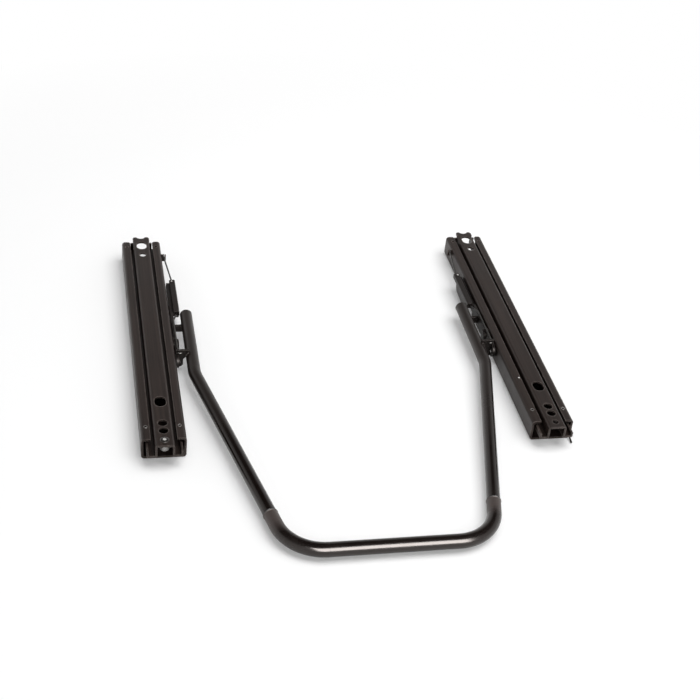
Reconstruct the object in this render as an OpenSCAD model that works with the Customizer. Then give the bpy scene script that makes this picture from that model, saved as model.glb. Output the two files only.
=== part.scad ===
// Pair of seat slide rails joined by a U-shaped release bar.
// Millimetres. +X runs across the rails, +Y towards the rear, +Z up from the floor.
// Each rail is drawn in its own frame: x = 0 on its centre line with +x towards the other
// rail, y = 0 at the channel's front end and z = 0 on the floor.

/* [Channel] */
// Distance between the centre lines of the two rails
rail_spacing = 360; // [320:1:460]
// Length of the floor channel
channel_l = 332; // [325:1:400]
// Width of the channel over its walls
channel_w = 40; // [40:0.5:46]
// Height of the channel to the top of its lips
channel_h = 21.5; // [21.5:0.5:26]
// Thickness of the channel's sheet
channel_t = 2; // [1.6:0.1:2.2]
// Outer radius of the channel's folds
channel_r = 3.2; // [2.6:0.1:4]
// Clear gap between the two lips
lip_gap = 23.2; // [21:0.2:25]
// Rounding of the lips' free corners at the rear
lip_corner_r = 3; // [1:0.5:5]

/* [Floor bolts] */
// Diameter of the floor bolt holes
floor_hole_d = 9; // [6:0.5:10]
// Distance of each floor bolt hole from its end of the channel
floor_hole_inset = 26; // [20:1:34]

/* [Upper rail] */
// Width of the upper rail over its legs
upper_w = 17.2; // [15:0.2:18]
// Thickness of the upper rail's sheet
upper_t = 1.8; // [1.4:0.1:2]
// Height of the upper rail from the flanges' underside to the top
upper_h = 12.8; // [12:0.2:14]
// Outer radius of the upper rail's folds
upper_r = 2.4; // [2.2:0.1:3]
// Height of the upper rail's top above the lips
upper_rise = 2.8; // [2:0.2:4]
// How far the upper rail stands out ahead of the channel at rest
upper_front = 13; // [8:1:16]
// How far the upper rail stands out behind the channel at rest
upper_over = 5; // [0:1:12]
// Width over the turned-up edges of the flanges
flange_w = 32; // [31:0.2:32.4]
// Height of the turned-up edges of the flanges
flange_h = 5.5; // [4.5:0.1:5.6]
// Length of the flat tongue at the upper rail's rear
tongue_l = 6; // [5:1:14]
// Rounding of the two horns at the tongue's end
horn_r = 2.8; // [2:0.2:3.6]
// Radius of the hollow between the horns
hollow_r = 5; // [4:0.5:6]
// Depth of the hollow between the horns
hollow_depth = 3; // [2:0.5:4]

/* [Seat bolts] */
// Width of the two oblong seat bolt holes
seat_hole_d = 10.4; // [8:0.2:11]
// Length of the two oblong seat bolt holes along the rail
seat_hole_l = 14.4; // [12:0.2:15]
// Diameter of the pair of holes near the front
pair_hole_d = 8.6; // [6:0.2:9]
// Diameter of the small hole behind the tongue's hole
rear_small_d = 7; // [4:0.5:8]
// Diameter of the small hole at the very front
front_small_d = 6; // [4:0.5:6.5]
// Middle of the oblong front hole, from the upper rail's front end
seat_front_at = 62.8; // [58:0.2:70]
// First hole of the front pair, from the front end
pair_first_at = 21.2; // [20:0.2:23]
// Distance between the holes of the front pair
pair_pitch = 10.6; // [10:0.2:14]
// Small front hole, from the front end
front_small_at = 8.2; // [7:0.2:10]
// Middle of the oblong rear hole, from the rear end
seat_rear_at = 16.8; // [14:0.2:18]
// Distance between the oblong and the small rear hole
rear_pair_pitch = 18.6; // [15:0.2:22]

/* [Slide] */
// Travel to each side of the middle position
travel = 60; // [40:10:60]
// Spacing of the locking positions
lock_pitch = 10; // [10:1:14]
// Width of a locking tooth
tooth_w = 5; // [3:0.5:5]
// Sideways room of a tooth in its notch
tooth_clear = 0.5; // [0.3:0.1:0.6]
// Running gap between the upper rail and the guides
slide_clear = 0.2; // [0.1:0.05:0.3]
// Length of a nylon guide
guide_l = 25; // [15:1:25]
// Diameter of the peg under a guide
peg_d = 5; // [3:0.5:5]
// Front stop dimples, from the channel's front end to their centre
stop_front_inset = 18; // [12:1:20]
// Rear stop dimples, from the channel's rear end to their centre
stop_rear_inset = 10; // [6:1:14]
// Diameter of a stop dimple
stop_d = 4; // [3:0.2:5]
// How far a stop dimple stands out under its lip
stop_depth = 1.3; // [0.8:0.1:1.5]
// Length of a stop ear on the flange's edge
ear_l = 8; // [4:1:12]

/* [Latch] */
// Pivot of the latch lever, from the channel's front end
pivot_at = 154; // [145:1:160]
// Height of the pivot above the floor
pivot_z = 12; // [11:0.5:13]
// Diameter of the pivot pin's shoulder
pin_d = 8; // [6:0.5:9]
// Diameter of the pivot pin's neck in the wall
pin_neck_d = 6; // [4:0.5:6]
// Diameter of the pivot pin's head
pin_head_d = 12; // [11:0.5:14]
// Thickness of the pivot pin's head
pin_head_t = 2; // [1.5:0.1:2.2]
// Thickness of the pivot washer
washer_t = 1; // [0.6:0.1:1.5]
// Outer diameter of the pivot washer
washer_d = 14; // [13:0.5:18]
// Thickness of the latch lever's plate
lever_t = 2.5; // [2:0.1:3]
// Angle through which the bar is lifted to free the slides
bar_lift = 5; // [4:0.5:5]
// Middle of the two locking teeth, from the channel's front end
teeth_at = 212.5; // [210:0.5:214]
// Thickness of the locking teeth
tooth_t = 2.5; // [2:0.1:3]
// Front end of the latch lever
lever_front = 121; // [119:1:124]
// Rear end of the latch lever and its sleeve
lever_rear = 258; // [250:1:262]
// Front end of the sleeve that holds the spring
sleeve_front = 200; // [196:1:206]
// Outer width and height of the folded sleeve
sleeve_d = 6; // [5:0.2:7]
// Bore of the sleeve
sleeve_bore = 3; // [2.6:0.1:3.4]
// Wire diameter of the return spring
wire_d = 1.6; // [1.2:0.1:1.8]
// Spring anchor, from the channel's rear end
anchor_inset = 25; // [20:1:32]

/* [Release bar] */
// Outer diameter of the bar's arms
arm_d = 12; // [10:0.2:12.4]
// Outer diameter of the front bow
bow_d = 12.8; // [12.6:0.1:14]
// Wall of the bar's tubes
tube_t = 1.6; // [1.2:0.1:2]
// Distance from a rail's centre line to its arm
arm_offset = 36.5; // [36:0.5:40]
// Rear end of the arms, from the channel's front end
arm_rear = 200; // [195:1:206]
// Height of the arms' centre at their rear end
arm_rear_z = 16; // [15:0.5:17]
// Place of the arms' bend, from the channel's front end
arm_bend = 104; // [90:1:112]
// Bend radius of the arms
arm_bend_r = 40; // [20:1:60]
// How far the crossbar lies ahead of the channels
bow_front = 136; // [110:1:180]
// Height of the crossbar's centre
bow_z = 8.4; // [7.5:0.1:9]
// Half the distance between the bow's two corner points
bow_half = 87.5; // [70:1:110]
// Bend radius of the bow's corners
bow_r = 40; // [30:1:48]
// Distance from a corner point to the joint with the arm
joint_at = 46; // [44:1:54]
// Depth of the arms' spigots in the bow
spigot_l = 10; // [6:1:10]
// Height of the domed plugs in the arms' rear ends
plug_dome = 3; // [1.5:0.5:4]

/* [Front stud] */
// Diameter of the stud under the left rail's front hole
stud_d = 8.6; // [7:0.2:9]
// Length of the stud below the top plate
stud_l = 9; // [6:0.5:9]
// Height of the stud's riveted head
stud_head_h = 0.8; // [0.5:0.1:1.2]

/* [Hidden] */
$fn = 64;

// Clearances and overlaps
run_clear = 0.05;
fit_clear = 0.05;
side_play = 0.1;
ear_clear = 0.3;
stop_gap = 0.5;
cut = 1;

// Bends stand a hair proud of the straight lengths that run into them
bend_swell = 0.1;
bend_lap = 0.6;

// Paint
satin_black = [0.10, 0.095, 0.09];
gloss_black = [0.05, 0.05, 0.05];
dark_nylon = [0.16, 0.16, 0.17];
zinc_grey = [0.45, 0.45, 0.46];

// Channel section
wall_x = channel_w / 2;
inside_x = wall_x - channel_t;
lip_under = channel_h - channel_t;
lip_x = lip_gap / 2;

// Upper rail section
upper_top = channel_h + upper_rise;
flange_z = upper_top - upper_h;
flange_top = flange_z + flange_h;
flange_x = flange_w / 2;
leg_x = upper_w / 2;
upper_l = upper_front + channel_l + upper_over;
upper_rear = channel_l + upper_over;
section_l = upper_l - tongue_l;
section_rear = section_l - upper_front;

// Locking notches and stops
tooth_reach = 3;
tooth_sink = 0.3;
tooth_z = flange_z - tooth_sink;
tooth_top = tooth_z + tooth_t;
tooth_tip = flange_x - tooth_reach;
notch_w = tooth_w + 2 * tooth_clear;
notch_depth = tooth_reach + tooth_clear;
notch_top = tooth_top + tooth_clear;
teeth = [teeth_at - lock_pitch / 2, teeth_at + lock_pitch / 2];
notch_steps = travel / lock_pitch;
stop_x = flange_x - upper_t / 2;
dimple_wall = 0.5;
stop_rear_at = channel_l - stop_rear_inset;
ear_top = lip_under - ear_clear;
end_clear = 0.4;
end_top = channel_h - end_clear;
front_ear_at = stop_front_inset + stop_d / 2 + stop_gap + travel;
rear_ear_at = stop_rear_at - stop_d / 2 - stop_gap - travel - ear_l;
window_room = 1.3;
teeth_drop = (teeth[1] + tooth_w / 2 - pivot_at) * sin(bar_lift);
window_l = lock_pitch + tooth_w + 2 * window_room;
window_low = tooth_z - teeth_drop - window_room;
window_high = tooth_top + window_room;

// Guides
guide_lead = 5;
guide_front_at = travel - upper_front + guide_lead;
guide_rear_at = section_rear - travel - guide_lead - guide_l;
leg_room = 0.9;
corner_room = 0.3;
guide_in = leg_x + leg_room;
guide_leg_x = flange_x + slide_clear;
guide_pad_z = flange_z - slide_clear;
guide_chamfer = channel_r - channel_t + corner_room;
peg_x = (guide_in + guide_leg_x) / 2;
peg_end_z = 0.2;

// Latch lever, in steps outwards from the channel's wall
lever_x = wall_x + washer_t + side_play;
lever_out = lever_x + lever_t;
pin_head_x = lever_out + side_play;
pin_tail_rim = 1.5;
pin_tail_d = pin_neck_d + 2 * pin_tail_rim;
pin_tail_t = 0.8;
floor_room = 1.2;
lever_low = (sleeve_front - pivot_at) * sin(bar_lift) + floor_room;
lever_high = 18.8;
lever_r = (lever_high - lever_low) / 2;
tail_low = 10.5;
boss_r = 7.2;
sleeve_gap = 0.6;
sleeve_r = 1.4;
sleeve_x = lever_out + sleeve_gap + sleeve_d / 2;
sleeve_z = 17.3;
curl_t = 2;
curl_z = sleeve_z - sleeve_d / 2;

// Rounded plate that hangs from the sleeve, clear of the floor when the lever's rear drops
lobe_r = 7.5;
lobe_step = 0.3;
lobe_x = sleeve_x + sleeve_d / 2 - lobe_step - lever_t;
lobe_inset = 12;
lobe_front = sleeve_front + lobe_inset;
lobe_rear = lever_rear - lobe_inset - lobe_r;
lobe_front_z = (lobe_front - pivot_at) * sin(bar_lift) + floor_room + lobe_r;
lobe_rear_z = (lobe_rear - pivot_at) * sin(bar_lift) + floor_room + lobe_r;

// Tabs between the lever and the bar
tab_t = 2.5;
rear_tab_at = 181;
rear_tab_low = 8.5;
wire_room = 1;
wire_hole_room = 0.4;
wire_hole_d = wire_d + 2 * wire_hole_room;
tab_end = arm_offset - arm_d / 4;
rear_tab_high = sleeve_z - wire_d / 2 - wire_room;
hole_rim = 0.6;
wire_over = 0.8;
wire_x = lever_x + hole_rim + wire_hole_d / 2;
wire_z = lever_high + wire_over + wire_d / 2;
front_tab_inset = 9;
front_tab_at = lever_front + front_tab_inset;
front_tab_high = wire_z + wire_hole_d / 2 + hole_rim;
front_tab_r = 3.4;
front_tab_low = 3.6;
front_tab_waist = 12;
front_tab_neck = 18;

// Spring anchor on the channel's wall
anchor_at = channel_l - anchor_inset;
anchor_t = 2;
anchor_low = 13;
anchor_high = 20.5;
anchor_out = 4.6;
anchor_slot_in = 2.2;
anchor_slot_x = wall_x + anchor_slot_in;
slot_room = 0.3;
anchor_slot_w = wire_d + 2 * slot_room;
anchor_slot_z = 17.2;
wire_lift = 0.1;
wire_rest_z = anchor_slot_z + wire_lift + wire_d / 2;
wire_ease = 16;
wire_past = 5;
wire_hook = 4;
hook_out = 4;

// Release bar, in its own sloping plane: t runs to the rear from the crossbar
bar_slope = atan((arm_rear_z - bow_z) / (arm_rear + bow_front));
bar_rear_t = (arm_rear + bow_front) / cos(bar_slope);
bar_bend_t = (arm_bend + bow_front) / cos(bar_slope);
arm_half = rail_spacing / 2 - arm_offset;
arm_heading = atan2(bar_bend_t, arm_half - bow_half);
arm_turn = 90 - arm_heading;
arm_bend_tangent = arm_bend_r * tan(arm_turn / 2);
bow_tangent = bow_r * tan(arm_heading / 2);
slant_l = norm([arm_half - bow_half, bar_bend_t]) - joint_at - arm_bend_tangent;
arm_bore = arm_d - 2 * tube_t;
bow_bore = bow_d - 2 * tube_t;
spigot_d = bow_bore - 2 * fit_clear;
plug_l = 8;

// Front stud
stud_top = upper_top - upper_t;
stud_nose = stud_d / 4;
stud_head_rim = 1.2;
stud_head_d = front_small_d + 2 * stud_head_rim;

// The origin lies midway between the bow's front and the upper rails' rear ends
origin_y = (upper_rear - bow_front - (bow_d + bend_swell) / 2) / 2;

// Placement

module at_left() translate([-rail_spacing / 2, -origin_y, 0]) children();

module at_right() translate([rail_spacing / 2, -origin_y, 0]) mirror([1, 0, 0]) children();

// The bar's plane, with x across the pair and y along the slope
module in_bar_plane() translate([0, -bow_front - origin_y, bow_z]) rotate([bar_slope, 0, 0]) children();

// A section drawn in x and z, carried along the rail
module along_rail(from, length) {
    translate([0, from + length, 0]) rotate([90, 0, 0]) linear_extrude(length) children();
}

// An outline drawn in y and z, given a thickness across the rail
module across_rail(from, thickness) {
    translate([from, 0, 0]) rotate([90, 0, 90]) linear_extrude(thickness) children();
}

module both_sides() {
    children();
    mirror([1, 0, 0]) children();
}

// Building shapes

module round_rect(w, h, r) {
    translate([-w / 2 + r, 0]) square([w - 2 * r, h]);
    translate([-w / 2, r]) square([w, h - 2 * r]);
    for (x = [-w / 2 + r, w / 2 - r], z = [r, h - r]) translate([x, z]) circle(r);
}

// What a rounded corner at the origin takes off a square one, in the quadrant x < 0, y < 0
module corner_cut(r) {
    difference() {
        translate([-r, -r]) square([r + cut, r + cut]);
        translate([-r, -r]) circle(r);
    }
}

module rod(a, b, d) {
    v = b - a;
    translate(a) rotate([0, acos(v.z / norm(v)), atan2(v.y, v.x)]) cylinder(d = d, h = norm(v));
}

// A round wire through a list of points, a hair thicker where it bends
module wire(points, d) {
    last = len(points) - 1;
    for (i = [0 : last - 1]) rod(points[i], points[i + 1], d);
    for (i = [1 : last - 1]) translate(points[i]) sphere(d = d + bend_swell);
}

// Channel

module channel_section() {
    difference() {
        round_rect(channel_w, channel_h, channel_r);
        translate([0, channel_t]) {
            round_rect(channel_w - 2 * channel_t, channel_h - 2 * channel_t, channel_r - channel_t);
        }
        translate([-lip_x, lip_under - cut]) square([lip_gap, channel_t + 2 * cut]);
    }
}

module stop_dimple_boss() {
    translate([0, 0, lip_under - stop_depth]) cylinder(d = stop_d, h = stop_depth + channel_t / 4);
}

module stop_dimple_hollow() {
    translate([0, 0, channel_h - stop_depth]) cylinder(d = stop_d - 2 * dimple_wall, h = stop_depth + cut);
}

module at_stop_dimples() {
    for (y = [stop_front_inset, stop_rear_at]) both_sides() translate([stop_x, y, 0]) children();
}

module spring_anchor() {
    translate([0, anchor_at - anchor_t / 2, 0]) difference() {
        translate([wall_x - channel_t / 2, 0, anchor_low]) {
            cube([anchor_out + channel_t / 2, anchor_t, anchor_high - anchor_low]);
        }
        translate([anchor_slot_x - anchor_slot_w / 2, -cut, anchor_slot_z]) {
            cube([anchor_slot_w, anchor_t + 2 * cut, anchor_high]);
        }
    }
}

module channel() {
    color(satin_black) difference() {
        union() {
            along_rail(0, channel_l) channel_section();
            at_stop_dimples() stop_dimple_boss();
            spring_anchor();
        }
        at_stop_dimples() stop_dimple_hollow();
        both_sides() translate([lip_x, channel_l, lip_under - cut]) mirror([1, 0, 0]) {
            linear_extrude(channel_t + 2 * cut) corner_cut(lip_corner_r);
        }
        for (y = [floor_hole_inset, channel_l - floor_hole_inset]) {
            translate([0, y, -cut]) cylinder(d = floor_hole_d, h = channel_t + 2 * cut);
        }
        for (y = [guide_front_at, guide_rear_at]) both_sides() {
            translate([peg_x, y + guide_l / 2, -cut]) {
                cylinder(d = peg_d + 2 * fit_clear, h = channel_t + 2 * cut);
            }
        }
        translate([inside_x - cut, pivot_at, pivot_z]) rotate([0, 90, 0]) {
            cylinder(d = pin_neck_d + 2 * fit_clear, h = channel_t + 2 * cut);
        }
        translate([inside_x - cut, teeth_at - window_l / 2, window_low]) {
            cube([channel_t + 2 * cut, window_l, window_high - window_low]);
        }
    }
}

// Upper rail

module upper_section() {
    difference() {
        translate([0, flange_z]) round_rect(upper_w, upper_h, upper_r);
        translate([-leg_x + upper_t, flange_z - cut]) {
            square([upper_w - 2 * upper_t, upper_h - upper_r + cut]);
        }
        translate([0, flange_z]) {
            round_rect(upper_w - 2 * upper_t, upper_h - upper_t, upper_r - upper_t);
        }
        translate([-leg_x, flange_z - cut]) square([upper_w, upper_t + cut]);
    }
    both_sides() {
        difference() {
            translate([leg_x - upper_t, flange_z]) square([flange_x - leg_x + upper_t, flange_h]);
            translate([leg_x - upper_t - cut, flange_z + upper_t]) {
                square([upper_t + cut, flange_h]);
            }
            translate([leg_x, flange_z + upper_t]) square([flange_x - leg_x - upper_t, flange_h]);
            translate([flange_x, flange_z]) mirror([0, 1]) corner_cut(upper_r / 2);
        }
        translate([leg_x - upper_t, flange_z + upper_t / 2]) square([upper_t, upper_h / 2]);
    }
}

module tongue_outline() {
    difference() {
        union() {
            translate([-leg_x, -cut]) square([upper_w, tongue_l - horn_r + cut]);
            translate([-leg_x + horn_r, 0]) square([upper_w - 2 * horn_r, tongue_l]);
            for (x = [-leg_x + horn_r, leg_x - horn_r]) translate([x, tongue_l - horn_r]) circle(horn_r);
        }
        translate([0, tongue_l - hollow_depth + hollow_r]) circle(hollow_r);
    }
}

module flange_ear(at) {
    both_sides() translate([flange_x - upper_t, at, flange_top - cut]) {
        cube([upper_t, ear_l, ear_top - flange_top + cut]);
    }
}

// Rear end of each flange, turned up between the leg and the lip
module flange_end() {
    end_low = flange_z + upper_t / 2;
    end_in = leg_x - upper_t / 2;
    both_sides() translate([end_in, section_rear - upper_t, end_low]) {
        cube([lip_x - end_clear - end_in, upper_t, end_top - end_low]);
    }
}

module top_hole(at, d) {
    translate([0, at - upper_front, upper_top - upper_t - cut]) cylinder(d = d, h = upper_t + 2 * cut);
}

module top_slot(at, d, l) {
    translate([0, at - upper_front, upper_top - upper_t - cut]) linear_extrude(upper_t + 2 * cut) {
        square([d, l - d], center = true);
        for (y = [-1, 1]) translate([0, y * (l - d) / 2]) circle(d = d);
    }
}

module upper_rail() {
    color(satin_black) difference() {
        union() {
            along_rail(-upper_front, section_l) upper_section();
            translate([0, section_rear, upper_top - upper_t]) linear_extrude(upper_t) tongue_outline();
            flange_ear(front_ear_at);
            flange_ear(rear_ear_at);
            flange_end();
        }
        top_hole(front_small_at, front_small_d);
        top_hole(pair_first_at, pair_hole_d);
        top_hole(pair_first_at + pair_pitch, pair_hole_d);
        top_slot(seat_front_at, seat_hole_d, seat_hole_l);
        top_slot(upper_l - seat_rear_at, seat_hole_d, seat_hole_l);
        top_hole(upper_l - seat_rear_at - rear_pair_pitch, rear_small_d);
        for (i = [-notch_steps : notch_steps + 1]) {
            translate([flange_x - notch_depth, teeth[0] + i * lock_pitch - notch_w / 2, flange_z - cut]) {
                cube([notch_depth + cut, notch_w, notch_top - flange_z + cut]);
            }
        }
    }
}

// Guides, fixed in the channel by a peg

module guide_section() {
    polygon([
        [guide_in, channel_t], [inside_x - guide_chamfer, channel_t],
        [inside_x, channel_t + guide_chamfer], [inside_x, lip_under - guide_chamfer],
        [inside_x - guide_chamfer, lip_under], [guide_leg_x, lip_under],
        [guide_leg_x, guide_pad_z], [guide_in, guide_pad_z]
    ]);
}

module guide(at) {
    color(dark_nylon) {
        along_rail(at, guide_l) guide_section();
        translate([peg_x, at + guide_l / 2, peg_end_z]) cylinder(d = peg_d, h = channel_t - peg_end_z + cut);
    }
}

module outer_guide(at) mirror([1, 0, 0]) guide(at);

// Pivot

module pivot_pin() {
    color(satin_black) translate([0, pivot_at, pivot_z]) rotate([0, 90, 0]) {
        translate([0, 0, inside_x - pin_tail_t]) cylinder(d = pin_tail_d, h = pin_tail_t);
        translate([0, 0, inside_x - pin_tail_t]) cylinder(d = pin_neck_d, h = channel_t + pin_tail_t + cut);
        translate([0, 0, wall_x]) cylinder(d = pin_d, h = pin_head_x - wall_x + cut);
        translate([0, 0, pin_head_x]) cylinder(d = pin_head_d, h = pin_head_t / 2);
        translate([0, 0, pin_head_x + pin_head_t / 2]) {
            cylinder(d1 = pin_head_d, d2 = pin_head_d - pin_head_t, h = pin_head_t / 2);
        }
    }
}

module pivot_washer() {
    color(zinc_grey) translate([wall_x, pivot_at, pivot_z]) rotate([0, 90, 0]) difference() {
        cylinder(d = washer_d, h = washer_t);
        translate([0, 0, -cut]) cylinder(d = pin_d + 2 * run_clear, h = washer_t + 2 * cut);
    }
}

// Latch lever

module lever_outline() {
    difference() {
        union() {
            translate([lever_front + lever_r, lever_low]) {
                square([sleeve_front - lever_front - lever_r, lever_high - lever_low]);
            }
            translate([lever_front + lever_r, lever_low + lever_r]) circle(lever_r);
            translate([sleeve_front - cut, tail_low]) {
                square([lever_rear - sleeve_front + cut, curl_z + curl_t - tail_low]);
            }
            translate([pivot_at, pivot_z]) circle(boss_r);
        }
        translate([sleeve_front, curl_z + curl_t]) square([lever_rear, lever_high]);
        translate([pivot_at, pivot_z]) circle(d = pin_d + 2 * run_clear);
    }
}

module sleeve_lobe_outline() {
    translate([lobe_front, lobe_front_z]) circle(lobe_r);
    translate([lobe_rear, lobe_rear_z]) circle(lobe_r);
    polygon([
        [lobe_front, lobe_front_z - lobe_r], [lobe_rear, lobe_rear_z - lobe_r],
        [lobe_rear, sleeve_z], [lobe_front, sleeve_z]
    ]);
}

// The rear straight of the left arm, as the lever's tabs meet it
module arm_line(d) {
    translate([arm_offset, -bow_front, bow_z]) rotate([bar_slope - 90, 0, 0]) {
        cylinder(d = d, h = bar_rear_t + cut);
    }
}

module rear_tab() {
    translate([lever_x, rear_tab_at, rear_tab_low]) {
        cube([tab_end - lever_x, tab_t, rear_tab_high - rear_tab_low]);
    }
}

// Narrow where it meets the bar, with a rounded lobe that hangs down beside the lever
module front_tab() {
    round_x = lever_x + front_tab_r;
    round_z = front_tab_low + front_tab_r;
    along_rail(front_tab_at, tab_t) difference() {
        union() {
            polygon([
                [lever_x, round_z], [round_x + front_tab_r, round_z],
                [round_x + front_tab_r, front_tab_waist], [tab_end, front_tab_neck],
                [tab_end, front_tab_high], [lever_x, front_tab_high]
            ]);
            translate([round_x, round_z]) circle(front_tab_r);
        }
        translate([wire_x, wire_z]) circle(d = wire_hole_d);
    }
}

module latch_lever() {
    color(satin_black) difference() {
        union() {
            across_rail(lever_x, lever_t) lever_outline();
            for (y = teeth) translate([tooth_tip, y - tooth_w / 2, tooth_z]) {
                cube([lever_out - tooth_tip, tooth_w, tooth_t]);
            }
            translate([lever_x, sleeve_front, curl_z]) {
                cube([sleeve_x - lever_x, lever_rear - sleeve_front, curl_t]);
            }
            along_rail(sleeve_front, lever_rear - sleeve_front) {
                translate([sleeve_x, curl_z]) round_rect(sleeve_d, sleeve_d, sleeve_r);
            }
            intersection() {
                across_rail(lobe_x, lever_t) sleeve_lobe_outline();
                translate([lever_x, sleeve_front, 0]) cube([arm_offset, lever_rear - sleeve_front, sleeve_z]);
            }
            rear_tab();
            front_tab();
        }
        along_rail(sleeve_front - cut, lever_rear - sleeve_front + 2 * cut) {
            translate([sleeve_x, sleeve_z]) circle(d = sleeve_bore);
        }
        arm_line(arm_d + 2 * fit_clear);
    }
}

// Spring wire: hooked in the front tab, over the lever, through the sleeve and onto the anchor
module return_spring() {
    hook_y = front_tab_at - wire_d;
    ease_y = sleeve_front - wire_ease;
    wire_points = [
        [wire_x + hook_out, hook_y, wire_z],
        [wire_x, hook_y, wire_z],
        [wire_x, ease_y, wire_z],
        [sleeve_x, sleeve_front, sleeve_z],
        [sleeve_x, lever_rear, sleeve_z],
        [anchor_slot_x, anchor_at, wire_rest_z],
        [anchor_slot_x, anchor_at + wire_past, wire_rest_z],
        [anchor_slot_x, anchor_at + wire_past, wire_rest_z - wire_hook]
    ];
    color(zinc_grey) wire(wire_points, wire_d);
}

// Release bar

// A bend to the left that starts at the origin, heading along x
module tube_bend(d, r, angle) {
    translate([0, r, 0]) rotate([0, 0, -90]) rotate_extrude(angle = angle) {
        translate([r, 0]) circle(d = d + bend_swell);
    }
}

// Right-hand arm from its joint to its rear end, started early and ended late by a margin
module arm_path(d, margin) {
    straight_t = bar_bend_t + arm_bend_tangent - bend_lap;
    translate([bow_half, 0, 0]) rotate([0, 0, arm_heading]) {
        translate([joint_at - margin, 0, 0]) rotate([0, 90, 0]) {
            cylinder(d = d, h = slant_l + margin + bend_lap);
        }
        translate([joint_at + slant_l, 0, 0]) tube_bend(d, arm_bend_r, arm_turn);
    }
    translate([arm_half, straight_t, 0]) rotate([-90, 0, 0]) {
        cylinder(d = d, h = bar_rear_t - straight_t + margin);
    }
}

module arm_spigot() {
    translate([bow_half, 0, 0]) rotate([0, 0, arm_heading]) translate([joint_at - spigot_l, 0, 0]) {
        rotate([0, 90, 0]) cylinder(d = spigot_d, h = spigot_l + cut);
    }
}

module handle_arm() {
    color(satin_black) in_bar_plane() difference() {
        union() {
            arm_path(arm_d, 0);
            arm_spigot();
        }
        arm_path(arm_bore, spigot_l + cut);
    }
}

module arm_plug() {
    dome_r = (arm_d * arm_d / 4 + plug_dome * plug_dome) / (2 * plug_dome);
    color(satin_black) in_bar_plane() translate([arm_half, bar_rear_t, 0]) rotate([-90, 0, 0]) {
        translate([0, 0, -plug_l]) cylinder(d = arm_bore - 2 * fit_clear, h = plug_l + plug_dome / 4);
        intersection() {
            translate([0, 0, plug_dome - dome_r]) sphere(dome_r, $fn = 96);
            cylinder(d = arm_d, h = plug_dome + cut);
        }
    }
}

// The bow, with its two sockets longer by a margin
module bow_path(d, margin) {
    straight_half = bow_half - bow_tangent;
    translate([-straight_half - bend_lap, 0, 0]) rotate([0, 90, 0]) {
        cylinder(d = d, h = 2 * (straight_half + bend_lap));
    }
    both_sides() {
        translate([straight_half, 0, 0]) tube_bend(d, bow_r, arm_heading);
        translate([bow_half, 0, 0]) rotate([0, 0, arm_heading]) translate([bow_tangent - bend_lap, 0, 0]) {
            rotate([0, 90, 0]) cylinder(d = d, h = joint_at - bow_tangent + bend_lap + margin);
        }
    }
}

module handle_bow() {
    color(gloss_black) in_bar_plane() difference() {
        bow_path(bow_d, 0);
        bow_path(bow_bore, cut);
    }
}

// Stud riveted in the left rail's front hole

module front_stud() {
    color(zinc_grey) translate([0, front_small_at - upper_front, 0]) {
        translate([0, 0, upper_top]) cylinder(d1 = stud_head_d, d2 = front_small_d, h = stud_head_h);
        translate([0, 0, stud_top - cut]) {
            cylinder(d = front_small_d - 2 * fit_clear, h = upper_t + cut + stud_head_h / 2);
        }
        translate([0, 0, stud_top - stud_l + stud_nose]) cylinder(d = stud_d, h = stud_l - stud_nose);
        translate([0, 0, stud_top - stud_l]) cylinder(d1 = stud_d / 2, d2 = stud_d, h = stud_nose);
    }
}

at_left() channel();  // left_channel
at_right() channel();  // right_channel
at_left() upper_rail();  // left_upper_rail
at_right() upper_rail();  // right_upper_rail
at_left() guide(guide_front_at);  // left_front_inner_guide
at_left() outer_guide(guide_front_at);  // left_front_outer_guide
at_left() guide(guide_rear_at);  // left_rear_inner_guide
at_left() outer_guide(guide_rear_at);  // left_rear_outer_guide
at_right() guide(guide_front_at);  // right_front_inner_guide
at_right() outer_guide(guide_front_at);  // right_front_outer_guide
at_right() guide(guide_rear_at);  // right_rear_inner_guide
at_right() outer_guide(guide_rear_at);  // right_rear_outer_guide
at_left() pivot_pin();  // left_pivot_pin
at_right() pivot_pin();  // right_pivot_pin
at_left() pivot_washer();  // left_pivot_washer
at_right() pivot_washer();  // right_pivot_washer
at_left() latch_lever();  // left_latch_lever
at_right() latch_lever();  // right_latch_lever
at_left() return_spring();  // left_return_spring
at_right() return_spring();  // right_return_spring
mirror([1, 0, 0]) handle_arm();  // left_handle_arm
handle_arm();  // right_handle_arm
mirror([1, 0, 0]) arm_plug();  // left_arm_plug
arm_plug();  // right_arm_plug
handle_bow();
at_left() front_stud();  // left_front_stud
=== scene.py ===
"""Looks of a pair of seat slide rails with a release bar: materials, welds, springs, floor, light and camera."""

import math

import bmesh
import bpy
from mathutils import Matrix, Vector, noise


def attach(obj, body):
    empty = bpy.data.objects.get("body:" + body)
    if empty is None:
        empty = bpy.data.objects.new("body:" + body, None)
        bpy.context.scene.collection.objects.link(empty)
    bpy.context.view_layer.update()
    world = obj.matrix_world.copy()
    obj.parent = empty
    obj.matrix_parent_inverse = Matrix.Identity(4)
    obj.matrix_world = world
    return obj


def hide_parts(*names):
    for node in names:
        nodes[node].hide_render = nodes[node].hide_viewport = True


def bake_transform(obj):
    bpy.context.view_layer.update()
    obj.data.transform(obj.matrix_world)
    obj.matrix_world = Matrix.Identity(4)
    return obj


MM = 0.001

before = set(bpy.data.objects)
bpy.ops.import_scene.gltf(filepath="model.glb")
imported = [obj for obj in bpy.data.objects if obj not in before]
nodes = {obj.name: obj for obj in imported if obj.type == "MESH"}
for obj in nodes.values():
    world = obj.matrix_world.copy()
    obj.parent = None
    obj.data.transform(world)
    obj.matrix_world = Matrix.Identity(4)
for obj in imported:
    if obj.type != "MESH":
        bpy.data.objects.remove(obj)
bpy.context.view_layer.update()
scene = bpy.context.scene


# Places in the model, in millimetres. In a rail's own frame x is counted from its middle towards the
# other rail, s along it from the channel's front end, and z from the floor.

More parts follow.
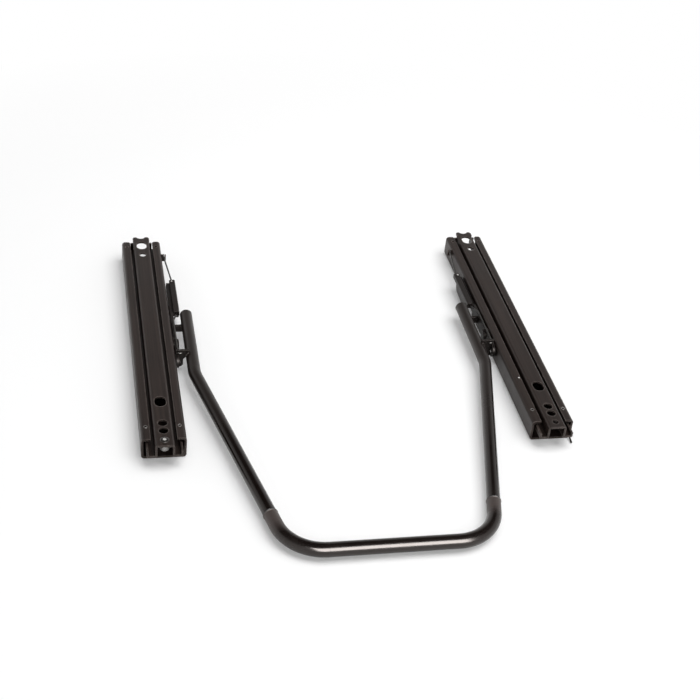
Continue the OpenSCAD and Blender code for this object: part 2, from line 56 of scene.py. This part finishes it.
SIDES = {"left": -1, "right": 1}
RAIL_X = 180.0
ORIGIN_S = 97.275
CHANNEL_TOP_Z = 21.5
UPPER_TOP_Z = 24.3

DIMPLE_X = 15.1
DIMPLE_S = (18.0, 322.0)
DIMPLE_R = 1.5
DIMPLE_DEPTH = 1.3
BURR_R = 0.30
BURR_UNEVEN = 0.12
LIP_MARK_X = 13.4
LIP_MARK_S = 68.0
SLIVER_X = -19.0
SLIVER_ROOT_S = 1.0
SLIVER_ROOT_Z = 3.2
SLIVER_L = 9.6
SLIVER_DROP = 3.0
SLIVER_CURL = 0.8

STUD_S = -4.8
STUD_R = 4.3
STUD_LOW_Z = 13.5
STUD_TOP_Z = 22.5
STUD_NECK_R = 2.8
STUD_HEAD_R = 4.2
STUD_HEAD_Z = 25.1

ARM_OFFSET = 36.5
ARM_R = 6.0
ARM_HEADING = math.radians(76.87)
BAR_FRONT_S = -136.0
BAR_FRONT_Z = 8.4
BAR_REAR_S = 200.0
BAR_REAR_Z = 16.0
BAR_RISE = (BAR_REAR_Z - BAR_FRONT_Z) / (BAR_REAR_S - BAR_FRONT_S)
BOW_R = 6.4
JOINT_X = 97.95
JOINT_S = -91.2

TAB_T = 2.5
FRONT_TAB_S = 130.0
REAR_TAB_S = 181.0
WELD_GAP = 0.3
WELD_PROUD = 0.15
LEVER_OUT_X = 23.6
LEVER_REAR_S = 258.0
RIVET_S = 126.0
RIVET_Z = 12.0
SLEEVE_FRONT_S = 200.0
SLEEVE_X = 27.2
SLEEVE_Z = 17.3
SLEEVE_R = 3.0

ANCHOR_S = 307.0
ANCHOR_SLOT_X = 22.2
WIRE_D = 1.6
WIRE_X = 22.9
WIRE_Z = 20.4
WIRE_EASE = 16.0
WIRE_REST_Z = 18.1
WIRE_PAST = 5.0
WIRE_HOOK = 4.0
WIRE_BEND_R = 2.0
WIRE_STEP = 3.0
HOOK_OUT = 4.0


def at(side, x, s, z):
    """A point of one rail's own frame, in metres in the model's frame."""
    sign = SIDES[side]
    return Vector((sign * (RAIL_X - x), s - ORIGIN_S, z)) * MM


def model_y(s):
    """A place along the rails, in metres in the model's frame."""
    return (s - ORIGIN_S) * MM


def arm_z(s):
    """Height of the release bar's centre line."""
    return BAR_FRONT_Z + (s - BAR_FRONT_S) * BAR_RISE


def full_turn(count):
    """Angles of points spread evenly round a circle."""
    return [2 * math.pi * k / count for k in range(count)]


# Node helpers

MIX_FACTOR, MIX_A, MIX_B, MIX_RESULT = 0, 6, 7, 2


class Tree:
    """A short way to write the nodes of a material or of the world."""

    def __init__(self, material):
        material.use_nodes = True
        self.nodes = material.node_tree.nodes
        self.links = material.node_tree.links
        self.nodes.clear()

    def add(self, kind, inputs=None, **settings):
        node = self.nodes.new("ShaderNode" + kind)
        for key, value in settings.items():
            setattr(node, key, value)
        for key, value in (inputs or {}).items():
            if isinstance(value, bpy.types.NodeSocket):
                self.links.new(value, node.inputs[key])
            else:
                node.inputs[key].default_value = value
        return node

    def noise(self, where, scale, detail=2.0, roughness=0.5):
        node = self.add("TexNoise", {"Vector": where, "Scale": scale, "Detail": detail, "Roughness": roughness})
        return node.outputs["Fac"]

    def remap(self, value, low, high, to_low, to_high, **settings):
        node = self.add("MapRange", {"Value": value, "From Min": low, "From Max": high,
                                     "To Min": to_low, "To Max": to_high}, **settings)
        return node.outputs["Result"]

    def mix(self, factor, a, b):
        node = self.add("Mix", {MIX_FACTOR: factor, MIX_A: a, MIX_B: b}, data_type="RGBA")
        return node.outputs[MIX_RESULT]

    def calc(self, operation, a, b):
        return self.add("Math", {0: a, 1: b}, operation=operation).outputs["Value"]

    def finish(self, shader):
        out = self.add("OutputMaterial")
        self.links.new(shader.outputs[0], out.inputs["Surface"])


def shade(colour, factor):
    """A colour made lighter or darker."""
    return [c * factor for c in colour[:3]] + [1.0]


# Materials. Noise scales are counts per metre.

CLOUD_SCALE = 34.0
EDGE_BREAKUP_SCALE = 210.0
STREAK_SCALE = 620.0
STREAK_STRETCH = (1.0, 0.012, 1.0)
EDGE_SAMPLES = 6
EDGE_REACH = 1.4
PEEL_DEPTH = 0.12 * MM
BLOTCH = 0.004
MATT_ROUGHER = 0.22
WARM_GLOSS = (1.0, 0.92, 0.88, 1.0)
DRAWN_SCALE = 900.0
DRAWN_DEPTH = 0.05 * MM
PATCH_SCALE = 150.0
SKIN_SCALE = 1500.0
SKIN_DEPTH = 0.06 * MM
SKIN_CLOUD_SCALE = 90.0
EVEN_GRAIN = (1.0, 1.0, 1.0)


def painted_steel(name, paint, edge_abrasion_and_highlight_colour, roughness, gloss, grain, peel, edge_r, edge_abrasion_and_highlight_amount, streaks=0.0, dull=None):
    """Black paint on folded steel: fine peel, cloudy gloss, and outer edges coloured lighter, partly as abraded paint
    and partly as a painted highlight along the folds.

    dull gives two places along the model, in metres, between which the paint turns matt, and its matt colour.
    """
    material = bpy.data.materials.new(name)
    tree = Tree(material)
    where = tree.add("TexCoord").outputs["Object"]
    clouds = tree.noise(where, CLOUD_SCALE, 4.0)
    fine = tree.noise(where, grain, 2.0, 0.6)
    rounded = tree.add("Bevel", {"Radius": edge_r}, samples=EDGE_SAMPLES)
    inside = tree.add("AmbientOcclusion", {"Distance": edge_r * EDGE_REACH}, samples=EDGE_SAMPLES,
                      inside=True, only_local=True)
    edge = tree.remap(inside.outputs["AO"], 0.96, 0.60, 0.0, 1.0)
    # The lighter outer-edge colour is partly abraded paint and partly a painted highlight along the fold radii,
    # broken up by noise.
    edge_breakup = tree.noise(where, EDGE_BREAKUP_SCALE, 4.0, 0.65)
    edge_abrasion_and_highlight_mask = tree.calc("MULTIPLY", edge, tree.remap(edge_breakup, 0.36, 0.66, 0.25 * edge_abrasion_and_highlight_amount, edge_abrasion_and_highlight_amount))
    dusty = tree.mix(tree.remap(clouds, 0.35, 0.68, 0.0, 1.0), paint, shade(paint, 1.3))
    drawn = tree.add("Mapping", {"Vector": where, "Scale": STREAK_STRETCH}).outputs["Vector"]
    lines = tree.noise(drawn, STREAK_SCALE, 3.0, 0.6)
    dusty = tree.mix(tree.remap(lines, 0.42, 0.72, 0.0, streaks), dusty, shade(paint, 2.6))
    sheen = tree.remap(clouds, 0.3, 0.7, roughness - 0.05, roughness + 0.06)
    if dull:
        start, end, matt = dull
        along = tree.add("SeparateXYZ", {"Vector": where}).outputs["Y"]
        blotched = tree.calc("ADD", along, tree.remap(clouds, 0.3, 0.7, -BLOTCH, BLOTCH))
        share = tree.remap(blotched, start, end, 0.0, 1.0)
        dusty = tree.mix(share, dusty, matt)
        sheen = tree.calc("ADD", sheen, tree.calc("MULTIPLY", share, MATT_ROUGHER))
    colour = tree.mix(edge_abrasion_and_highlight_mask, dusty, edge_abrasion_and_highlight_colour)
    bump = tree.add("Bump", {"Strength": peel, "Distance": PEEL_DEPTH, "Height": fine,
                             "Normal": rounded.outputs["Normal"]})
    shader = tree.add("BsdfPrincipled", {
        "Base Color": colour,
        "Roughness": sheen,
        "Normal": bump.outputs["Normal"],
        "Specular IOR Level": gloss,
        "Specular Tint": WARM_GLOSS,
    })
    tree.finish(shader)
    return material


def bare_steel(name, colour, roughness, brush=EVEN_GRAIN, metallic=1.0):
    """Plated, drawn or rubbed steel with a faint grain; brush stretches the grain along an axis."""
    material = bpy.data.materials.new(name)
    tree = Tree(material)
    where = tree.add("TexCoord").outputs["Object"]
    stretched = tree.add("Mapping", {"Vector": where, "Scale": brush}).outputs["Vector"]
    grain = tree.noise(stretched, DRAWN_SCALE, 3.0)
    patches = tree.noise(where, PATCH_SCALE, 3.0)
    tone = tree.mix(tree.remap(patches, 0.35, 0.7, 0.0, 1.0), colour, shade(colour, 0.72))
    bump = tree.add("Bump", {"Strength": 0.15, "Distance": DRAWN_DEPTH, "Height": grain})
    shader = tree.add("BsdfPrincipled", {
        "Base Color": tone,
        "Metallic": metallic,
        "Roughness": tree.remap(grain, 0.3, 0.7, roughness - 0.06, roughness + 0.08),
        "Normal": bump.outputs["Normal"],
    })
    tree.finish(shader)
    return material


def moulded_plastic(name, colour, roughness):
    """Moulded plastic with a matt, slightly uneven skin."""
    material = bpy.data.materials.new(name)
    tree = Tree(material)
    where = tree.add("TexCoord").outputs["Object"]
    skin = tree.noise(where, SKIN_SCALE, 2.0)
    clouds = tree.noise(where, SKIN_CLOUD_SCALE, 3.0)
    tone = tree.mix(tree.remap(clouds, 0.3, 0.7, 0.0, 1.0), colour, shade(colour, 1.3))
    bump = tree.add("Bump", {"Strength": 0.12, "Distance": SKIN_DEPTH, "Height": skin})
    shader = tree.add("BsdfPrincipled", {
        "Base Color": tone,
        "Roughness": tree.remap(skin, 0.3, 0.7, roughness - 0.05, roughness + 0.05),
        "Normal": bump.outputs["Normal"],
    })
    tree.finish(shader)
    return material


# The lighter edge colour in each finish below is partly abraded paint and partly a painted highlight along the folds.
RAIL_PAINT = painted_steel(
    "rail_satin_black", paint=(0.0128, 0.0086, 0.0072, 1), edge_abrasion_and_highlight_colour=(0.14, 0.118, 0.107, 1),
    roughness=0.38, gloss=0.28, grain=1900.0, peel=0.20, edge_r=0.8 * MM, edge_abrasion_and_highlight_amount=0.8, streaks=0.6)
LEVER_PAINT = painted_steel(
    "lever_satin_black", paint=(0.0078, 0.0054, 0.0046, 1), edge_abrasion_and_highlight_colour=(0.06, 0.051, 0.046, 1),
    roughness=0.42, gloss=0.22, grain=1700.0, peel=0.3, edge_r=0.5 * MM, edge_abrasion_and_highlight_amount=0.6)
BAR_PAINT = painted_steel(
    "bar_gloss_black", paint=(0.0042, 0.0025, 0.0019, 1), edge_abrasion_and_highlight_colour=(0.009, 0.006, 0.005, 1),
    roughness=0.18, gloss=0.42, grain=700.0, peel=0.05, edge_r=0.3 * MM, edge_abrasion_and_highlight_amount=0.3,
    dull=(model_y(-30), model_y(110), (0.0110, 0.0076, 0.0063, 1)))
BOW_PAINT = painted_steel(
    "bow_gloss_black", paint=(0.0050, 0.0030, 0.0024, 1), edge_abrasion_and_highlight_colour=(0.009, 0.006, 0.005, 1),
    roughness=0.24, gloss=0.55, grain=700.0, peel=0.05, edge_r=0.3 * MM, edge_abrasion_and_highlight_amount=0.3,
    dull=(model_y(-117), model_y(-103), (0.040, 0.030, 0.027, 1)))
# The bow rim's light colour is partly abraded paint and partly a painted highlight.
RIM_ABRASION_AND_HIGHLIGHT = painted_steel(
    "bow_rim_abraded_and_highlight", paint=(0.060, 0.052, 0.048, 1), edge_abrasion_and_highlight_colour=(0.14, 0.125, 0.115, 1),
    roughness=0.38, gloss=0.50, grain=1400.0, peel=0.3, edge_r=0.2 * MM, edge_abrasion_and_highlight_amount=0.7)
WELD = painted_steel(
    "weld_black", paint=(0.014, 0.0105, 0.009, 1), edge_abrasion_and_highlight_colour=(0.05, 0.043, 0.04, 1),
    roughness=0.36, gloss=0.45, grain=1400.0, peel=0.4, edge_r=0.3 * MM, edge_abrasion_and_highlight_amount=0.5)
STUD_BLACK = painted_steel(
    "stud_blackened", paint=(0.012, 0.0105, 0.010, 1), edge_abrasion_and_highlight_colour=(0.09, 0.085, 0.08, 1),
    roughness=0.30, gloss=0.50, grain=1500.0, peel=0.2, edge_r=0.4 * MM, edge_abrasion_and_highlight_amount=0.7)
BURR_STEEL = bare_steel("rubbed_burr", (0.24, 0.225, 0.215, 1), roughness=0.40, metallic=0.35)
# Near-white and mostly diffuse: partly abraded bare metal, partly a painted highlight on rivet crowns, the stud's
# centre and the lip pips.
BRIGHT_ABRASION_AND_HIGHLIGHT = bare_steel("abraded_bright_and_highlight", (0.66, 0.65, 0.63, 1), roughness=0.30, metallic=0.25)
STUD_ZINC = bare_steel("stud_dull_zinc", (0.27, 0.262, 0.255, 1), roughness=0.42, brush=(1.0, 1.0, 0.2), metallic=0.6)
SPRING_STEEL = bare_steel("spring_wire", (0.11, 0.104, 0.099, 1), roughness=0.36, brush=(1.0, 0.05, 1.0))
NYLON = moulded_plastic("guide_nylon", (0.035, 0.034, 0.034, 1), roughness=0.55)
# Also used for the black ring behind the bow's rim, which is painted shadow.
BLACK_PLASTIC_AND_JOINT_SHADOW = moulded_plastic("plug_plastic", (0.012, 0.0115, 0.011, 1), roughness=0.45)


def material_for(node):
    """The finish of a CAD node, by what it is."""
    if node.endswith("_guide"):
        return NYLON
    if node.endswith("_plug"):
        return BLACK_PLASTIC_AND_JOINT_SHADOW
    if node.endswith(("_lever", "_pin", "_washer")):
        return LEVER_PAINT
    if node == "handle_bow":
        return BOW_PAINT
    if node.endswith("_arm"):
        return BAR_PAINT
    return RAIL_PAINT


for name, obj in nodes.items():
    if obj.material_slots:
        for slot in obj.material_slots:
            slot.material = material_for(name)
    else:
        obj.data.materials.append(material_for(name))


# Mesh pieces

BEND_STEP = 0.16
LEG_SHARE = 0.45
WELD_STEPS = 26
RIM_STEPS = 56
BURR_STEPS = 28
SLIVER_STEPS = 16

pieces = []


def as_object(name, mesh, materials):
    """Turns a bmesh into a smooth-shaded object of the scene."""
    mesh.normal_update()
    data = bpy.data.meshes.new(name)
    mesh.to_mesh(data)
    mesh.free()
    for face in data.polygons:
        face.use_smooth = True
    for material in materials:
        data.materials.append(material)
    obj = bpy.data.objects.new(name, data)
    scene.collection.objects.link(obj)
    pieces.append(obj)
    return obj


def sweep(name, points, radius_at, material, sides=16, closed=False):
    """A tube along a list of points; radius_at(i) gives its radius at a point, in metres."""
    mesh = bmesh.new()
    rings = []
    across = None
    last = len(points) - 1
    for i, p in enumerate(points):
        after = points[(i + 1) % len(points)] if closed else points[min(i + 1, last)]
        before = points[i - 1] if closed else points[max(i - 1, 0)]
        ahead = (after - before).normalized()
        if across is None:
            across = ahead.orthogonal().normalized()
        across = (across - ahead * across.dot(ahead)).normalized()
        other = ahead.cross(across)
        r = radius_at(i)
        rings.append([mesh.verts.new(p + (across * math.cos(a) + other * math.sin(a)) * r)
                      for a in full_turn(sides)])
    pairs = list(zip(rings, rings[1:])) + ([(rings[-1], rings[0])] if closed else [])
    for low, high in pairs:
        for k in range(sides):
            n = (k + 1) % sides
            mesh.faces.new((low[k], low[n], high[n], high[k]))
    if not closed:
        mesh.faces.new(list(reversed(rings[0])))
        mesh.faces.new(rings[-1])
    return as_object(name, mesh, [material])


def lathe(name, profile, centre, materials, slots, sides=40):
    """A turned piece about a vertical axis; the profile is (radius, height) in mm from bottom to top.

    slots gives the index in materials of each band between two points of the profile.
    """
    mesh = bmesh.new()
    rings = []
    for r, z in profile:
        if r == 0:
            rings.append([mesh.verts.new(centre + Vector((0, 0, z * MM)))])
        else:
            rings.append([mesh.verts.new(centre + Vector((math.cos(a), math.sin(a), z / r)) * r * MM)
                          for a in full_turn(sides)])
    for low, high, slot in zip(rings, rings[1:], slots):
        for k in range(sides):
            n = (k + 1) % sides
            if len(low) == 1:
                corners = [low[0], high[n], high[k]]
            elif len(high) == 1:
                corners = [low[k], low[n], high[0]]
            else:
                corners = [low[k], low[n], high[n], high[k]]
            mesh.faces.new(corners).material_index = slot
    return as_object(name, mesh, materials)


def rounded_path(corners, radius, step):
    """Points along straight lines with their corners rounded to a radius, all in metres."""
    path = [corners[0]]
    for before, here, after in zip(corners, corners[1:], corners[2:]):
        a, b = (before - here).normalized(), (after - here).normalized()
        half = a.angle(b) / 2
        room = LEG_SHARE * min((before - here).length, (after - here).length)
        tangent = min(radius / math.tan(half), room)
        start, end = here + a * tangent, here + b * tangent
        steps = max(3, round((math.pi - 2 * half) / BEND_STEP))
        for i in range(steps + 1):
            t = i / steps
            path.append(start * (1 - t) ** 2 + here * 2 * t * (1 - t) + end * t ** 2)
    path.append(corners[-1])
    dense = [path[0]]
    for p in path[1:]:
        first = dense[-1]
        count = max(1, math.ceil((p - first).length / step))
        dense += [first.lerp(p, i / count) for i in range(1, count + 1)]
    return dense


def weld_bead(name, side, s, first, last, radius):
    """A rippled bead along the bar's skin, between two angles counted from the rail-facing side, in degrees."""
    reach = ARM_R + WELD_PROUD
    points = []
    for i in range(WELD_STEPS + 1):
        angle = math.radians(first + (last - first) * i / WELD_STEPS)
        points.append(at(side, ARM_OFFSET - reach * math.cos(angle), s, arm_z(s) + reach * math.sin(angle)))

    def bead_radius(i):
        end = min(1.0, min(i, WELD_STEPS - i) / 2.5 + 0.35)
        ripple = 1.0 + 0.10 * math.sin(i * 1.9) + 0.10 * noise.noise(Vector((i * 0.7, s, radius)))
        return radius * MM * end * ripple

    bead = sweep(name, points, bead_radius, WELD, 12)
    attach(bead, "handle")


for side in SIDES:
    for tab, tab_s, angles, radius in (("front", FRONT_TAB_S, (3, 60), 1.2), ("rear", REAR_TAB_S, (-58, -3), 1.3)):
        weld_bead(f"{side}_{tab}_weld_ahead", side, tab_s - WELD_GAP, *angles, radius)
        weld_bead(f"{side}_{tab}_weld_behind", side, tab_s + TAB_T + WELD_GAP, *angles, radius)


def bow_joint(side):
    """The bow's end rim, coloured light as abraded paint and a painted highlight, and a black ring behind it on the
    arm that is painted shadow.
    """
    sign = SIDES[side]
    along = math.sin(ARM_HEADING)
    ahead = Vector((sign * math.cos(ARM_HEADING), along, along * BAR_RISE)).normalized()
    centre = Vector((sign * JOINT_X, JOINT_S - ORIGIN_S, arm_z(JOINT_S))) * MM
    across = ahead.orthogonal().normalized()
    other = ahead.cross(across)

    def ring(name, shift, radius, thick, material):
        middle = centre + ahead * shift * MM
        points = [middle + (across * math.cos(a) + other * math.sin(a)) * radius * MM for a in full_turn(RIM_STEPS)]

        def ring_radius(i):
            return (thick + 0.06 * noise.noise(points[i] * 500)) * MM

        piece = sweep(name, points, ring_radius, material, 10, closed=True)
        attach(piece, "handle")

    # The light rim: abraded paint plus a painted highlight.
    ring(f"{side}_bow_rim", -0.35, BOW_R - 0.18, 0.5, RIM_ABRASION_AND_HIGHLIGHT)
    # A black matte ring on the arm: painted shadow behind the rim.
    ring(f"{side}_joint_shadow_ring", 0.75, ARM_R + 0.05, 0.5, BLACK_PLASTIC_AND_JOINT_SHADOW)


for side in SIDES:
    bow_joint(side)


def return_spring(side):
    """The spring wire with rounded bends: it follows the channel at its anchor and the bar elsewhere."""
    hook_s = FRONT_TAB_S - WIRE_D
    end_s = ANCHOR_S + WIRE_PAST
    corners = [
        at(side, WIRE_X + HOOK_OUT, hook_s, WIRE_Z),
        at(side, WIRE_X, hook_s, WIRE_Z),
        at(side, WIRE_X, SLEEVE_FRONT_S - WIRE_EASE, WIRE_Z),
        at(side, SLEEVE_X, SLEEVE_FRONT_S, SLEEVE_Z),
        at(side, SLEEVE_X, LEVER_REAR_S, SLEEVE_Z),
        at(side, ANCHOR_SLOT_X, ANCHOR_S, WIRE_REST_Z),
        at(side, ANCHOR_SLOT_X, end_s, WIRE_REST_Z),
        at(side, ANCHOR_SLOT_X, end_s, WIRE_REST_Z - WIRE_HOOK),
    ]
    points = rounded_path(corners, WIRE_BEND_R * MM, WIRE_STEP * MM)
    wire = sweep(f"{side}_spring_wire", points, lambda i: WIRE_D / 2 * MM, SPRING_STEEL, 12)
    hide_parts(f"{side}_return_spring")
    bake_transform(wire)


return_spring("left")
return_spring("right")


def dimple_burr(name, body, centre, material):
    """The rim that the punch left round a stop dimple in a channel's lip."""
    points = [centre + Vector((math.cos(a), math.sin(a), 0)) * DIMPLE_R * MM for a in full_turn(BURR_STEPS)]

    def burr_radius(i):
        return (BURR_R + BURR_UNEVEN * noise.noise(points[i] * 900)) * MM

    burr = sweep(name, points, burr_radius, material, 10, closed=True)
    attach(burr, body)


for side in SIDES:
    for end, s, material in zip(("front", "rear"), DIMPLE_S, (BURR_STEEL, RAIL_PAINT)):
        for place, x in (("inner", DIMPLE_X), ("outer", -DIMPLE_X)):
            dimple_burr(f"{side}_{end}_{place}_burr", f"{side}_channel", at(side, x, s, CHANNEL_TOP_Z), material)


def sleeve_rivet(side):
    """A small eyelet on the sleeve's rear end that pins the fold shut."""
    top = SLEEVE_Z + SLEEVE_R
    profile = [(0, top - 0.2), (2.2, top - 0.2), (2.3, top), (2.25, top + 0.3), (1.9, top + 0.55),
               (1.45, top + 0.5), (1.2, top + 0.2), (0.95, top + 0.2), (0.8, top + 0.55), (0.4, top + 0.75),
               (0, top + 0.8)]
    # The rivet's top bands are bright: partly abraded metal, partly a painted highlight.
    rivet = lathe(f"{side}_sleeve_rivet", profile, at(side, SLEEVE_X - 0.6, LEVER_REAR_S - 3.0, 0),
                  [LEVER_PAINT, BRIGHT_ABRASION_AND_HIGHLIGHT], [0] * 7 + [1] * 3, 28)
    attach(rivet, "handle")


for side in SIDES:
    sleeve_rivet(side)


def lever_rivet(side):
    """The domed rivet on the lever's rounded front end, with a bright crown that is partly abraded metal and partly a
    painted highlight.
    """
    profile = [(0, -0.2), (2.4, -0.2), (2.45, 0.0), (2.35, 0.35), (2.0, 0.75), (1.5, 1.05), (0.9, 1.22), (0, 1.3)]
    rivet = lathe(f"{side}_lever_rivet", profile, Vector((0, 0, 0)),
                  [LEVER_PAINT, BRIGHT_ABRASION_AND_HIGHLIGHT], [0] * 5 + [1] * 2, 28)
    sideways = Matrix.Rotation(-SIDES[side] * math.pi / 2, 4, "Y")
    rivet.data.transform(Matrix.Translation(at(side, LEVER_OUT_X, RIVET_S, RIVET_Z)) @ sideways)
    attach(rivet, "handle")


for side in SIDES:
    lever_rivet(side)


def lip_mark(name, body, centre):
    """A small pip on a lip, coloured bright: partly abraded metal, partly a painted highlight."""
    profile = [(0, -0.1), (0.95, -0.1), (1.0, 0.05), (0.8, 0.25), (0.45, 0.36), (0, 0.4)]
    mark = lathe(name, profile, centre, [RAIL_PAINT, BRIGHT_ABRASION_AND_HIGHLIGHT], [0, 0, 1, 1, 1], 20)
    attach(mark, body)


lip_mark("right_lip_mark", "right_channel", at("right", LIP_MARK_X, LIP_MARK_S, CHANNEL_TOP_Z))
lip_mark("right_dimple_mark", "right_channel", at("right", DIMPLE_X, DIMPLE_S[1], CHANNEL_TOP_Z - DIMPLE_DEPTH))


def corner_sliver():
    """A sliver torn loose at the foot of the right channel's outer wall, ahead of its front end."""
    points = []
    for i in range(SLIVER_STEPS + 1):
        t = i / SLIVER_STEPS
        z = SLIVER_ROOT_Z - SLIVER_DROP * t + SLIVER_CURL * t * t
        points.append(at("right", SLIVER_X, SLIVER_ROOT_S - SLIVER_L * t, z))
    radii = [0.72 + 0.2 * i / SLIVER_STEPS for i in range(SLIVER_STEPS)] + [0.55]
    sliver = sweep("right_corner_sliver", points, lambda i: radii[i] * MM, LEVER_PAINT, 12)
    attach(sliver, "right_channel")


corner_sliver()


def front_stud():
    """The left rail's stud: a dull zinc shank and a blackened round head whose bright centre is a painted highlight.
    """
    profile = [(0, STUD_LOW_Z), (2.2, STUD_LOW_Z + 0.05), (3.3, STUD_LOW_Z + 0.5), (4.0, STUD_LOW_Z + 1.2),
               (STUD_R, STUD_LOW_Z + 2.2), (STUD_R, STUD_TOP_Z - 0.2), (STUD_R - 0.2, STUD_TOP_Z),
               (STUD_NECK_R, STUD_TOP_Z), (STUD_NECK_R, UPPER_TOP_Z), (STUD_HEAD_R, UPPER_TOP_Z),
               (STUD_HEAD_R - 0.1, UPPER_TOP_Z + 0.12), (3.6, UPPER_TOP_Z + 0.42), (2.7, STUD_HEAD_Z - 0.1),
               (2.0, STUD_HEAD_Z), (1.55, STUD_HEAD_Z), (1.35, STUD_HEAD_Z - 0.12), (0.7, STUD_HEAD_Z - 0.4),
               (0, STUD_HEAD_Z - 0.5)]
    stud = lathe("left_stud_turned", profile, at("left", 0, STUD_S, 0),
                 [STUD_ZINC, STUD_BLACK, BRIGHT_ABRASION_AND_HIGHLIGHT], [0] * 9 + [1] * 5 + [2] * 3)
    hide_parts("left_front_stud")
    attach(stud, "left_upper")


front_stud()


# Floor, light and camera

WHITE = (1, 1, 1, 1)
FLOOR_GREY = (0.92, 0.92, 0.92, 1)
FLOOR_HALF = 6.0
FLOOR_WHITE = 0.15
FADE_FROM, FADE_TO = 0.42, 0.80
BACKDROP_EDGE = (0.57, 0.64)
BACKDROP_STRENGTH, ABOVE_STRENGTH = 0.66, 0.03
GLOW_RANGE = (0.10, 0.50)
GLOW_STRENGTH = 0.30
PHOTO_PX = 700
SENSOR_MM = 36.0
LONG_STEEL = ("_channel", "_upper_rail", "_arm")


def white_to_the_eye(tree, lit, share):
    """Mixes a lit surface with plain white.

    Near the part both the eye and mirrored rays get a share of white. Far off the eye gets white alone.
    """
    path = tree.add("LightPath")
    where = tree.add("TexCoord").outputs["Object"]
    away = tree.add("VectorMath", {0: where}, operation="LENGTH").outputs["Value"]
    faded = tree.remap(away, FADE_FROM, FADE_TO, share, 1.0)
    eye = tree.calc("MULTIPLY", path.outputs["Is Camera Ray"], faded)
    mirrored = tree.calc("MAXIMUM", path.outputs["Is Glossy Ray"], path.outputs["Is Transmission Ray"])
    seen = tree.calc("MAXIMUM", eye, tree.calc("MULTIPLY", mirrored, share))
    white = tree.add("Emission", {"Color": WHITE, "Strength": 1.0})
    return tree.add("MixShader", {0: seen, 1: lit.outputs[0], 2: white.outputs[0]})


def make_floor():
    """A pale floor, far wider than the part."""
    data = bpy.data.meshes.new("floor")
    corners = [(x * FLOOR_HALF, y * FLOOR_HALF, 0) for x, y in ((-1, -1), (1, -1), (1, 1), (-1, 1))]
    data.from_pydata(corners, [], [(0, 1, 2, 3)])
    floor = bpy.data.objects.new("floor", data)
    scene.collection.objects.link(floor)
    material = bpy.data.materials.new("pale_floor")
    tree = Tree(material)
    lit = tree.add("BsdfDiffuse", {"Color": FLOOR_GREY})
    tree.finish(white_to_the_eye(tree, lit, FLOOR_WHITE))
    data.materials.append(material)


def make_world():
    """White to the eye; to other rays a pale backdrop that ends at about 37 degrees, dim above it."""
    world = bpy.data.worlds.new("studio")
    scene.world = world
    tree = Tree(world)
    up = tree.add("SeparateXYZ", {"Vector": tree.add("TexCoord").outputs["Generated"]}).outputs["Z"]
    backdrop = tree.remap(up, *BACKDROP_EDGE, BACKDROP_STRENGTH, ABOVE_STRENGTH, interpolation_type="SMOOTHSTEP")
    glow = tree.remap(up, *GLOW_RANGE, GLOW_STRENGTH, 0.0)
    sky = tree.calc("ADD", backdrop, glow)
    seen = tree.add("LightPath").outputs["Is Camera Ray"]
    strength = tree.remap(seen, 0.0, 1.0, sky, 1.0)
    background = tree.add("Background", {"Color": WHITE, "Strength": strength})
    output = tree.add("OutputWorld")
    tree.links.new(background.outputs["Background"], output.inputs["Surface"])


def make_lamp(name, place, target, size, power):
    """A rectangular lamp that looks at a target; metres and watts."""
    data = bpy.data.lights.new(name, "AREA")
    data.shape = "RECTANGLE"
    data.size, data.size_y = size
    data.energy = power
    lamp = bpy.data.objects.new(name, data)
    lamp.location = place
    lamp.rotation_euler = (Vector(target) - Vector(place)).to_track_quat("-Z", "Y").to_euler()
    scene.collection.objects.link(lamp)
    return lamp


def light_only(lamp, objects):
    """Keeps a lamp's light to some of the objects."""
    group = bpy.data.collections.new(lamp.name + "_receivers")
    for obj in objects:
        group.objects.link(obj)
    lamp.light_linking.receiver_collection = group


def make_camera(focal_px, pitch, yaw, roll, place_mm):
    """The photograph's camera: angles in degrees, focal length in pixels of the photograph."""
    pitch, yaw, roll = map(math.radians, (pitch, yaw, roll))
    ahead = Vector((math.sin(yaw) * math.cos(pitch), math.cos(yaw) * math.cos(pitch), -math.sin(pitch)))
    side = Vector((math.cos(yaw), -math.sin(yaw), 0))
    up = side.cross(ahead)
    side, up = side * math.cos(roll) + up * math.sin(roll), up * math.cos(roll) - side * math.sin(roll)
    data = bpy.data.cameras.new("photo_camera")
    data.sensor_width = SENSOR_MM
    data.lens = focal_px / PHOTO_PX * data.sensor_width
    data.clip_start = 0.01
    data.clip_end = 50
    camera = bpy.data.objects.new("photo_camera", data)
    turned = Matrix((side, up, -ahead)).transposed().to_4x4()
    camera.matrix_world = Matrix.Translation(Vector(place_mm) * MM) @ turned
    scene.collection.objects.link(camera)
    scene.camera = camera


make_floor()
make_world()
soft_lamps = (
    make_lamp("key_right", place=(0.95, -0.15, 2.2), target=(-0.05, 0.0, 0.0), size=(2.0, 2.0), power=48),
    make_lamp("overhead", place=(-0.3, 0.3, 2.2), target=(-0.1, 0.1, 0.0), size=(1.4, 1.4), power=11),
    make_lamp("front_fill", place=(0.0, -1.7, 1.2), target=(0.0, -0.1, 0.0), size=(1.2, 0.8), power=5),
)
for lamp in soft_lamps:
    lamp.visible_glossy = False

# This one gives gloss alone, and none to the long rails and arms, which would gleam from end to end.
front_box = make_lamp("front_box", place=(0.16, -1.25, 0.82), target=(-0.16, -0.23, 0.0), size=(1.22, 1.0), power=73)
front_box.visible_diffuse = False
light_only(front_box, pieces + [obj for name, obj in nodes.items() if not name.endswith(LONG_STEEL)])

make_camera(focal_px=1338.8, pitch=35.22, yaw=14.49, roll=6.55, place_mm=(-257.9, -1009.6, 776.2))
scene.view_settings.view_transform = "Standard"
